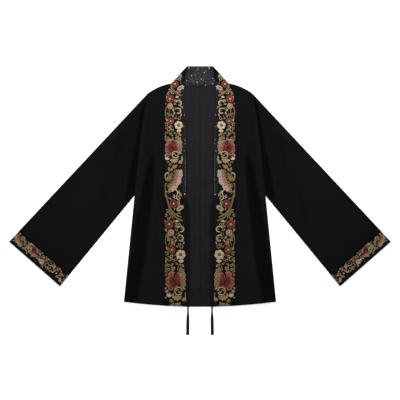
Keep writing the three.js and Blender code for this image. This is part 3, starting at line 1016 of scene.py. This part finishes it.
def loop(stitching, place, size, turn, pair):
    """A long open loop, doubled."""
    sweep = np.radians(np.linspace(-168, 168, 22))
    ahead = direction(turn)
    for share, width, colour in ((1.0, 2.0, PAIRS[pair][1]), (0.8, 1.1, PAIRS[pair][2])):
        shape = np.stack([size * share * np.cos(sweep), 0.34 * size * share * np.sin(sweep)], axis=-1)
        stitching.cord(place + shape[:, :1] * ahead + shape[:, 1:] * sideways(ahead), width, colour)


def stalk(stitching, path, pair, width=3.2):
    """A stout cord along a path, with a finer one on either side."""
    tangent = np.gradient(path, axis=0)
    tangent /= np.linalg.norm(tangent, axis=1, keepdims=True)
    stitching.cord(path, width, PAIRS[pair][1], 0.6)
    for side in (-1, 1):
        stitching.cord(path + side * 0.53 * width * sideways(tangent), 0.9, PAIRS[pair][2], 0.8)


def arc(stitching, place, size, turn, pair):
    """An arched stalk, bowed to its left."""
    share = np.linspace(-1, 1, 20)[:, None]
    ahead = direction(turn)
    path = place + share * size * ahead + 0.26 * size * (1 - share**2) * sideways(ahead)
    stalk(stitching, path, pair)
    return path


def crook(stitching, place, size, turn, pair):
    """A stout curl."""
    radius = size * np.linspace(1.0, 0.5, 20)[:, None]
    curl = place + direction(turn + np.linspace(0, 270, 20)) * radius
    stalk(stitching, curl, pair, 0.3 * size)
    stitching.cord(place + (curl[3:15] - place) * 0.5, 1.4, "straw", 0.3)


def stem(stitching, place, size, turn, pair):
    """A stalk with small leaves along it."""
    path = arc(stitching, place, size, turn, pair)
    for i, swing in ((4, 42), (9, -48), (14, 40)):
        stitching.petal(path[i], turn + swing, 0.32 * size, 0.15 * size, pair, roundness=0.9, rise=0.7)


def beads(stitching, place, size, turn, pair):
    for reach, bead in ((-1, 0.8), (-0.34, 1.1), (0.34, 1.1), (1, 0.8)):
        stitching.knot(place + reach * size * direction(turn), bead, PAIRS[pair][1])


def rounded(corners, rounds=3):
    """A smooth path along a line of corners, which are cut off again and again."""
    path = np.asarray(corners, float)
    for _ in range(rounds):
        near, far = 0.75 * path[:-1] + 0.25 * path[1:], 0.25 * path[:-1] + 0.75 * path[1:]
        path = np.concatenate([path[:1], np.stack([near, far], axis=1).reshape(-1, 2), path[-1:]])
    return path


measure(scroll, tendril, ring, loop, arc, crook, stem, beads)

# %% [markdown]
# ### One repeat of the trim
# The table sets out one repeat, as it lies on the +X band: the seam edge is at x = 112 and the
# flowers stop short of the free edge at x = 44. Big blooms come first and the filling last. No
# two repeats of such work are quite alike, so each may drift: its motifs are moved a little.

# %% The repeat
REPEAT = [  # motif, x, y, size, turn, colours
    (arc, 76, 306, 25, 224, "gold"), (loop, 104, 237, 21, 93, "olive"),
    (stem, 107, 159, 15, 268, "olive"), (stem, 105, -14, 26, 262, "olive"),
    (side_peony, 80, 21, 33, 204, "shell"), (peony, 89, 124, 24, 10, "crimson"),
    (blossom, 68, 195, 13.5, 15, "ivory"), (flower, 96, 279, 12, 20, "red"),
    (flower, 80, 326, 11, 50, "red"), (flower, 93, 208, 10, 0, "red"),
    (oval, 62, 314, 21, 146, "shell"), (ring, 78, 101, 11.5, 200, "cream"),
    (leaf, 61, 352, 12, 70, "gold"), (leaf, 66, 359, 9, 120, "olive"),
    (scroll, 66, 341, 5, 40, "cream"), (scroll, 75, 344, 4, 200, "cream"),
    (leaf, 64, 302, 11, 60, "tan"), (leaf, 70, 298, 8, 130, "peach"),
    (scroll, 96, 305, 5, 40, "cream"), (scroll, 88, 299, 4.5, 200, "cream"),
    (scroll, 103, 296, 4.5, 90, "cream"), (leaf, 107, 285, 9, 80, "gold"),
    (spray, 73, 285, 7, 80, "white"), (leaf, 77, 273, 13, 190, "gold"),
    (crook, 67, 264, 10.5, 20, "creamy"), (leaf, 80, 263, 10, 205, "lime"),
    (flower, 95, 256, 8.4, 30, "sunny"), (crook, 69, 239, 10.5, 50, "crest"),
    (leaf, 86, 243, 10, 240, "gold"), (leaf, 82, 233, 9, 120, "straw"),
    (leaf, 86, 224, 10, 100, "peach"), (scroll, 67, 217, 5.8, 90, "gold"),
    (leaf, 78, 217, 8, 30, "tan"), (leaf, 106, 212, 10, 70, "gold"),
    (scroll, 107, 197, 5.5, 30, "lime"), (scroll, 92, 190, 5.2, 250, "cream"),
    (scroll, 101, 182, 7, 60, "lime"), (scroll, 88, 178, 4.4, 10, "lime"),
    (spray, 67, 177, 10, 265, "white"), (leaf, 93, 168, 10, 150, "olive"),
    (leaf, 80, 170, 8, 200, "tan"), (loop, 73, 160, 11, 105, "tan"),
    (leaf, 63, 165, 10, 60, "gold"), (spray, 67, 151, 14, 150, "tan"),
    (spray, 64, 140, 14, 185, "gold"), (spray, 63, 128, 14, 178, "tan"),
    (spray, 64, 116, 13, 205, "tan"), (leaf, 63, 107, 10, 30, "gold"),
    (half_blossom, 82, 84, 12, 262, "pink"), (frill, 64, 86, 9, 205, "gold"),
    (scroll, 62, 76, 5.5, 20, "lime"), (bud, 104, 91, 12, 290, "white"),
    (leaf, 109, 100, 9, 300, "gold"), (bud, 82, 62, 11, 100, "peach"),
    (leaf, 75, 66, 10, 110, "cream"), (leaf, 98, 54, 15, 75, "olive"),
    (leaf, 90, 54, 11, 110, "tan"), (frill, 105, 34, 9, 30, "gold"),
    (leaf, 104, 23, 12, 200, "tan"), (leaf, 97, -12, 16, 250, "olive"),
    (trefoil, 68, -17, 6.5, 320, "gold"), (leaf, 64, -28, 8, 330, "peach"),
    (tendril, 73, -27, 19, 249, "cream"), (scroll, 84, -32, 4.6, 60, "cream"),
    (leaf, 60, 228, 8, 280, "gold"),
]
NO_DRIFT = [(0, 0, 0)]  # place along the repeat, and how far a motif there is moved
LOWER_DRIFT = [
    (101, -4.5, -8), (124, -4, -3), (180, 0, 0), (262, 0, 0), (279, 4.5, 0), (300, 9, 11),
]
CUFF_DRIFT = [
    (21, -6, -6), (70, -4, -1), (124, -2.8, 2), (200, -1, 2), (279, -3.5, 1.4), (314, -5.3, -4.6),
    (326, -8.9, -7),
]


def lay_trim(stitching, spread, offset, kept, drift=NO_DRIFT):
    """Adds the repeat, moved and stretched by spread and offset, where kept says that it fits.

    Each motif keeps its shape and takes the mean of the stretch."""
    scale = math.sqrt(abs(np.linalg.det(spread)))
    bearing = math.degrees(math.atan2(spread[1, 0], spread[0, 0]))
    stations, drift_x, drift_y = np.array(drift).T
    for motif, x, y, size, turn, colours in REPEAT:
        moved = np.array([np.interp(y, stations, drift_x), np.interp(y, stations, drift_y)])
        place = np.array(offset) + spread @ (x, y) + moved
        if kept(place):
            motif(stitching, place, size * scale, turn + bearing, colours)


print(len(REPEAT), "motifs in one repeat")

# %% [markdown]
# ### Filling
# Bare cloth is left only in small patches between the motifs. Points on a shaken grid are
# tried one after another, and where one has no thread near it, a small leaf, curl or row of
# beads goes in. The shake comes from a generator with a fixed seed.

# %% Fill what is bare
BARE = [  # black patches of one repeat: x, y and radius
    (107, 66, 9), (106, 52, 8), (99, 10, 7), (60, -4, 9), (88, -20, 7), (108, -42, 8), (107, -56, 8),
    (107, -69, 9), (100, -32, 7), (57, -50, 10), (60, -36, 7), (72, -89, 5),
]
FILLING = [  # motif, size, colours
    (scroll, 4.6, "straw"), (leaf, 8, "gold"), (scroll, 4.2, "gold"), (leaf, 8, "tan"),
    (beads, 3.4, "cream"), (scroll, 4.4, "cream"), (leaf, 8, "olive"), (spray, 7, "pink"),
]
FILL_STEP, SHAKE = 7.0, 0.4  # mm between the points of the grid, and the shake as a share of it
CLEAR = 3.5  # mm of bare cloth round the middle of a filling form


def fill_gaps(stitching, area, kept, scale, seed):
    """Adds filling forms in an area, given by its lowest and highest x and y, and counts them."""
    (low_x, low_y), (high_x, high_y) = area
    rng = np.random.default_rng(seed)
    done = np.concatenate(stitching.points)[:, :2]
    step = FILL_STEP * scale
    added = 0
    for y in np.arange(low_y, high_y, step):
        for x in np.arange(low_x, high_x, step):
            place = np.array([x, y]) + rng.uniform(-SHAKE, SHAKE, 2) * step
            turn = rng.uniform(0, 360)
            if not kept(place):
                continue
            if np.min(np.sum((done - place) ** 2, axis=1)) < (CLEAR * scale) ** 2:
                continue
            motif, size, colours = FILLING[added % len(FILLING)]
            before = len(stitching.points)
            motif(stitching, place, size * scale, turn, colours)
            done = np.concatenate([done] + [form[:, :2] for form in stitching.points[before:]])
            added += 1
    return added


print(len(FILLING), "filling forms take turns")

# %% [markdown]
# ### Thread finish
# Stranded thread shines softly, and the light breaks up on the rows of stitches. The colour
# comes from an attribute, and a fine wave along each form makes its stitches. A slow noise
# changes the tone from stitch to stitch.

# %% Mix the thread finish
STITCH_PITCH, STRAND_NOISE = 0.55, 1.6  # in mm, because the attribute named run is


def thread_finish():
    finish = Finish("embroidery_thread", 0.55, 0.12)
    run = finish.attribute("run", "Vector")
    rows = finish.waves(run, "Y", STITCH_PITCH, 0.6)
    uneven = finish.spread(finish.noise(run, STRAND_NOISE), 0.25, 0.75)
    row_tone = finish.calculate("MULTIPLY_ADD", rows, 0.3, 0.72)
    strand_tone = finish.calculate("MULTIPLY_ADD", uneven, 0.3, 0.78)
    tone = finish.calculate("MULTIPLY", row_tone, strand_tone)
    finish.colour(finish.toned(finish.attribute("thread", "Color"), tone))
    finish.bump(rows, 0.15 * MM)
    return finish


thread = thread_finish()
print("one stitch every", STITCH_PITCH, "mm")

# %% [markdown]
# ### Laid on the cloth
# A flat form is dropped straight down on its band or cuff, so that it follows the cloth's
# folds. What would hang over an edge is pressed back inside it, as if caught in the seam. The
# mirror side is laid by turning the sign of X, which also turns the faces round, so their
# corners are listed the other way about there.

# %% Drop thread on cloth
ABOVE, DOWN = 0.05, (0, 0, -1)  # rays start this high, in metres
EDGE_HEIGHT = 4 * MM  # the nearest cloth edge is looked for from this height
HEM_EDGE = 1.2 * MM  # bare cloth kept at an edge
PRESSED_IN = 0.96  # share of the way from outside the edge to inside it


def cloth_under(tree, x, y):
    """The place on the cloth straight below a point in metres, or None."""
    return tree.ray_cast((x, y, ABOVE), DOWN)[0]


def on_cloth(flat, tree, sign):
    """Flat points in mm, pressed inside the cloth's edge, and the heights of the cloth there."""
    flat = flat.copy()
    heights = np.empty(len(flat))
    for i, (x, y) in enumerate(flat * (sign * MM, MM)):
        hit = cloth_under(tree, x, y)
        if hit is None:
            near = tree.find_nearest((x, y, EDGE_HEIGHT))[0]
            inward = np.array([near.x - x, near.y - y])
            inward *= 1 + HEM_EDGE / (np.linalg.norm(inward) + 1e-6)
            x, y = np.array([x, y]) + inward * PRESSED_IN
            hit = cloth_under(tree, x, y) or near
            flat[i] = x / (sign * MM), y / MM
        heights[i] = hit.z
    return flat, heights


def joined(name, places, faces, finish):
    """One piece from many small forms, given as arrays of points and faces."""
    data = bpy.data.meshes.new(name)
    data.from_pydata(places.tolist(), [], faces)
    data.materials.append(finish.material)
    piece = new_object(name, data)
    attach(piece, "root")
    return piece


def embroidered(name, stitching, tree, sign):
    points = np.concatenate(stitching.points)
    flat, heights = on_cloth(points[:, :2], tree, sign)
    places = np.column_stack([flat * (sign * MM, MM), points[:, 2] * MM + heights])
    faces = stitching.faces if sign > 0 else [face[::-1] for face in stitching.faces]
    piece = joined(name, places, faces, thread)
    colours = np.concatenate(stitching.colours)
    runs = np.column_stack([np.concatenate(stitching.runs), np.zeros(len(places))])
    for attribute, kind, field, values in (
        ("thread", "FLOAT_COLOR", "color", colours), ("run", "FLOAT_VECTOR", "vector", runs),
    ):
        made = piece.data.attributes.new(attribute, kind, "POINT")
        made.data.foreach_set(field, values.ravel())
    only(piece)
    smooth(55)
    print(name, "has", sum(len(face) - 2 for face in faces), "triangles")


# %% [markdown]
# ### Trim on the bands and cuffs
# On a band, the repeat lies as it is from the neck to the waist, and once more below, a little
# larger and painted darker, as painted shade where the light falls off towards the hem. A bent
# stalk joins the two. On a cuff, the repeat is turned to run from the upper fold to the underarm,
# is squeezed to the width of the strip, and gets the same painted shade.

# %% Lay the trim
UPPER_THREAD = np.array([0.99, 0.98, 0.97, 1])  # how much of each colour the thread keeps
# Below the waist and on the cuffs the thread keeps less: painted shade where the light falls off.
LOWER_THREAD_PAINTED_SHADE = np.array([0.70, 0.65, 0.60, 1])
CUFF_THREAD_PAINTED_SHADE = np.array([0.68, 0.66, 0.63, 1])
UPPER_END, FLOWERS_END = -46, 58  # y of the upper repeat's end, and x where the filling stops
LOWER_OFFSET, LOWER_SCALE = np.array([-16.8, -441.2]), 1.15
JOINING_STALK = [(112, -16), (103, -48), (95, -76), (80, -99), (55, -110)]
BAND_AREA = (52, -386), (113, 375)  # lowest and highest x and y
BAND_SEED, CUFF_SEED = 5, 6
CORNER = np.array([609.6, -177.6])  # the cuff's outer corner at the upper fold
UNDER = np.array([446.4, -321.0])  # and its corner under the arm
ALONG_CUFF = (UNDER - CORNER) / np.linalg.norm(UNDER - CORNER)
UP_SLEEVE = -sideways(ALONG_CUFF)
CUFF_SPREAD = np.column_stack([0.52 * UP_SLEEVE, 0.62 * ALONG_CUFF])
FIRST_BLOOM = (83, 29)  # this place in the repeat lies 18 along the cuff and 28.5 up the sleeve
CUFF_OFFSET = CORNER + 18 * ALONG_CUFF + 28.5 * UP_SLEEVE - CUFF_SPREAD @ FIRST_BLOOM
STRIP_LOW, STRIP_HIGH = 14, 44  # the filling's limits, from the sleeve's end
CUFF_AREA = (410, -325), (615, -135)
CUFF_FILL_SCALE = 0.85


def lies_on(tree, sign):
    """A test of whether a flat place lies on a piece of cloth."""
    return lambda place: cloth_under(tree, sign * place[0] * MM, place[1] * MM)


def dress_band(side, sign):
    tree = tree_of(cloth["band", side])
    on_band = lies_on(tree, sign)

    def to_waist(place):
        return place[1] > UPPER_END and on_band(place)

    def fillable(place):
        lower = (place - LOWER_OFFSET) / LOWER_SCALE
        for x, y, radius in BARE:
            if min(math.dist(place, (x, y)), math.dist(lower, (x, y))) < radius:
                return False
        return place[0] > FLOWERS_END and on_band(place)

    trim = Stitching(UPPER_THREAD)
    lay_trim(trim, np.eye(2), (0, 0), to_waist)
    trim.brightness = LOWER_THREAD_PAINTED_SHADE
    lay_trim(trim, LOWER_SCALE * np.eye(2), LOWER_OFFSET, on_band, LOWER_DRIFT)
    stalk(trim, rounded(JOINING_STALK), "gold", 3.0)
    added = fill_gaps(trim, BAND_AREA, fillable, 1.0, BAND_SEED)
    print(added, "filling forms on the", side, "band")
    embroidered(f"band_embroidery_{side}", trim, tree, sign)


def dress_cuff(side, sign):
    tree = tree_of(cloth["cuff", side])
    on_cuff = lies_on(tree, sign)

    def on_strip(place):
        return STRIP_LOW < np.dot(place - CORNER, UP_SLEEVE) < STRIP_HIGH and on_cuff(place)

    trim = Stitching(CUFF_THREAD_PAINTED_SHADE)
    lay_trim(trim, CUFF_SPREAD, CUFF_OFFSET, on_cuff, CUFF_DRIFT)
    added = fill_gaps(trim, CUFF_AREA, on_strip, CUFF_FILL_SCALE, CUFF_SEED)
    print(added, "filling forms on the", side, "cuff")
    embroidered(f"cuff_embroidery_{side}", trim, tree, sign)


for side, sign in SIDES.items():
    dress_band(side, sign)
    dress_cuff(side, sign)

# %% [markdown]
# ## Topstitching
# Rows of black stitches hold the seams flat: beside the band and the armhole, above the hem,
# along the cuff's edge and along the foot of the collar. Each stitch is a short cord of the
# same kind as in the embroidery. A row follows the edge of a piece, which is found from the
# outermost points of its mesh.

# %% Sew the rows
PITCH, STITCH, STITCH_WIDTH = 3.2, 2.3, 0.55
STITCH_BRIGHTNESS = 1.4
STATION = 4  # mm from one station to the next, and to either side in which the edge is looked for
ROWS = {  # axis along the row, its first and last station, which edge, and distance from that edge
    "hem": (0, 116, 240, "min", 12), "armhole": (1, -24, 284, "max", 3),
    "beside_band": (1, -380, 300, "min", 2.5), "free_edge": (1, -380, 370, "min", 7),
    "collar_foot": (0, 2, 86, "min", 2.5),
}
CUFF_ROW = CORNER + 4 * UP_SLEEVE + np.linspace(5, 212, 60)[:, None] * ALONG_CUFF


def edge_line(piece, axis, first, last, furthest, inset):
    """Points inside a piece's edge in mm, one for each station along the axis."""
    x, y, _ = points_of(piece).T / MM
    along, across = (np.abs(x), y) if axis == 0 else (y, np.abs(x))
    line = []
    for station in np.arange(first, last, STATION):
        near = across[np.abs(along - station) < STATION]
        reach = near.max() - inset if furthest == "max" else near.min() + inset
        line.append((station, reach) if axis == 0 else (reach, station))
    return np.array(line)


def sew(stitching, line):
    along = np.concatenate([[0], np.cumsum(np.linalg.norm(np.diff(line, axis=0), axis=1))])
    for start in np.arange(0, along[-1] - STITCH, PITCH):
        share = start + STITCH * np.array([0, 0.5, 1])
        stitch = np.column_stack([np.interp(share, along, part) for part in line.T])
        stitching.cord(stitch, STITCH_WIDTH, "black", -0.05)


def stitched(name, lines, key):
    rows = Stitching(STITCH_BRIGHTNESS)
    for line in lines:
        sew(rows, line)
    embroidered(name, rows, tree_of(cloth[key]), SIDES.get(key[1], 1))


for side in SIDES:
    front_rows = [
        edge_line(cloth["front", side], *ROWS[row]) for row in ("hem", "armhole", "beside_band")
    ]
    stitched(f"front_topstitching_{side}", front_rows, ("front", side))
    free_edge = edge_line(cloth["band", side], *ROWS["free_edge"])
    stitched(f"band_topstitching_{side}", [free_edge], ("band", side))
    stitched(f"cuff_topstitching_{side}", [CUFF_ROW], ("cuff", side))
collar_foot = edge_line(stand, *ROWS["collar_foot"])
both_ways = np.concatenate([collar_foot[::-1] * (-1, 1), collar_foot])
stitched("collar_topstitching", [both_ways], ("collar", "centre"))

# %% [markdown]
# ## Rhinestones
# A few small cut stones are scattered over the collar, the plain edge of each band and the
# cuffs, with a close row of tiny ones down the band's edge. One stone is modelled: an
# eight-sided drum whose top is drawn in to make facets. Its copies are joined in one mesh for
# each stretch.

# %% Cut one stone
STONE_WIDTH = 3.4 * MM

deselect()
bpy.ops.mesh.primitive_cylinder_add(vertices=8, radius=STONE_WIDTH / 2, depth=0.5 * STONE_WIDTH)
stone = bpy.context.object
bpy.ops.object.mode_set(mode="EDIT")
bpy.ops.mesh.select_mode(type="FACE")
bpy.ops.mesh.select_all(action="DESELECT")
bpy.ops.object.mode_set(mode="OBJECT")
for face in stone.data.polygons:
    face.select = face.normal.z > 0.9
bpy.ops.object.mode_set(mode="EDIT")
bpy.ops.mesh.inset(thickness=0.22 * STONE_WIDTH, depth=0)
bpy.ops.transform.translate(value=(0, 0, 0.14 * STONE_WIDTH))
bpy.ops.object.mode_set(mode="OBJECT")
stone_points = points_of(stone)
stone_faces = [list(face.vertices) for face in stone.data.polygons]
bpy.data.objects.remove(stone)
print("one stone has", len(stone_faces), "faces")

# %% [markdown]
# ### Stones on the cloth
# A cut stone throws light back in all directions, so a smooth metal is closest to it at this
# size. Each stone stands on the highest cloth under its place and is sunk in a little.

# %% Set the stones
COLLAR_STONES = [  # x, y, and share of the full size
    (-35, 378, 0.9), (-7, 374, 0.8), (29, 378, 1.2), (13, 363, 0.8), (-27, 353, 0.9), (40, 344, 0.6),
    (4, 342, 0.9), (10, 339, 0.6), (-43, 338, 0.7), (45, 337, 0.6), (-9, 332, 0.9), (41, 328, 0.6),
    (18, 323, 0.6),
]
BAND_STONES = [
    (51, 318, 0.6), (53, 311, 0.7), (49, 228, 0.7), (51, 191, 0.6), (48, 148, 0.6), (47, 136, 0.6),
    (51, 113, 0.6), (48, -25, 0.9),
] + [(46.5, y, 0.3) for y in range(97, -20, -7)]
CUFF_STONES = [(525, -239, 0.35), (503, -260, 0.35)]
STONE_HEIGHT = 0.2 * STONE_WIDTH  # of its middle above the cloth


def cut_stone():
    finish = Finish("rhinestone", 0.2, 0.5, Metallic=1.0)
    cloudy = finish.spread(finish.noise(finish.place(), 2 * MM, 1), 0.3, 0.7)
    finish.colour(finish.blend(cloudy, (0.75, 0.75, 0.78, 1), (0.97, 0.97, 1, 1)))
    return finish


stone_finish = cut_stone()
all_trees = [tree_of(piece) for piece in cloth.values()]


def seat_of(x, y):
    """The highest point of cloth under a place in metres."""
    hits = [cloth_under(tree, x, y) for tree in all_trees]
    return max((hit for hit in hits if hit), key=lambda hit: hit.z)


def set_stones(name, stones, sign):
    points, faces = [], []
    for x, y, share in stones:
        seat = seat_of(sign * x * MM, y * MM)
        first = len(points) * len(stone_points)
        faces += [[index + first for index in face] for face in stone_faces]
        points.append(stone_points * share + (seat.x, seat.y, seat.z + STONE_HEIGHT * share))
    joined(name, np.concatenate(points), faces, stone_finish)
    print(name, "has", len(stones), "stones")


set_stones("collar_stones", COLLAR_STONES, 1)
for side, sign in SIDES.items():
    set_stones(f"band_stones_{side}", BAND_STONES, sign)
    set_stones(f"cuff_stones_{side}", CUFF_STONES, sign)

# %% [markdown]

# %% [markdown]
# ## Finish
# The scene is brought up to date.

# %% Finish
bpy.context.view_layer.update()
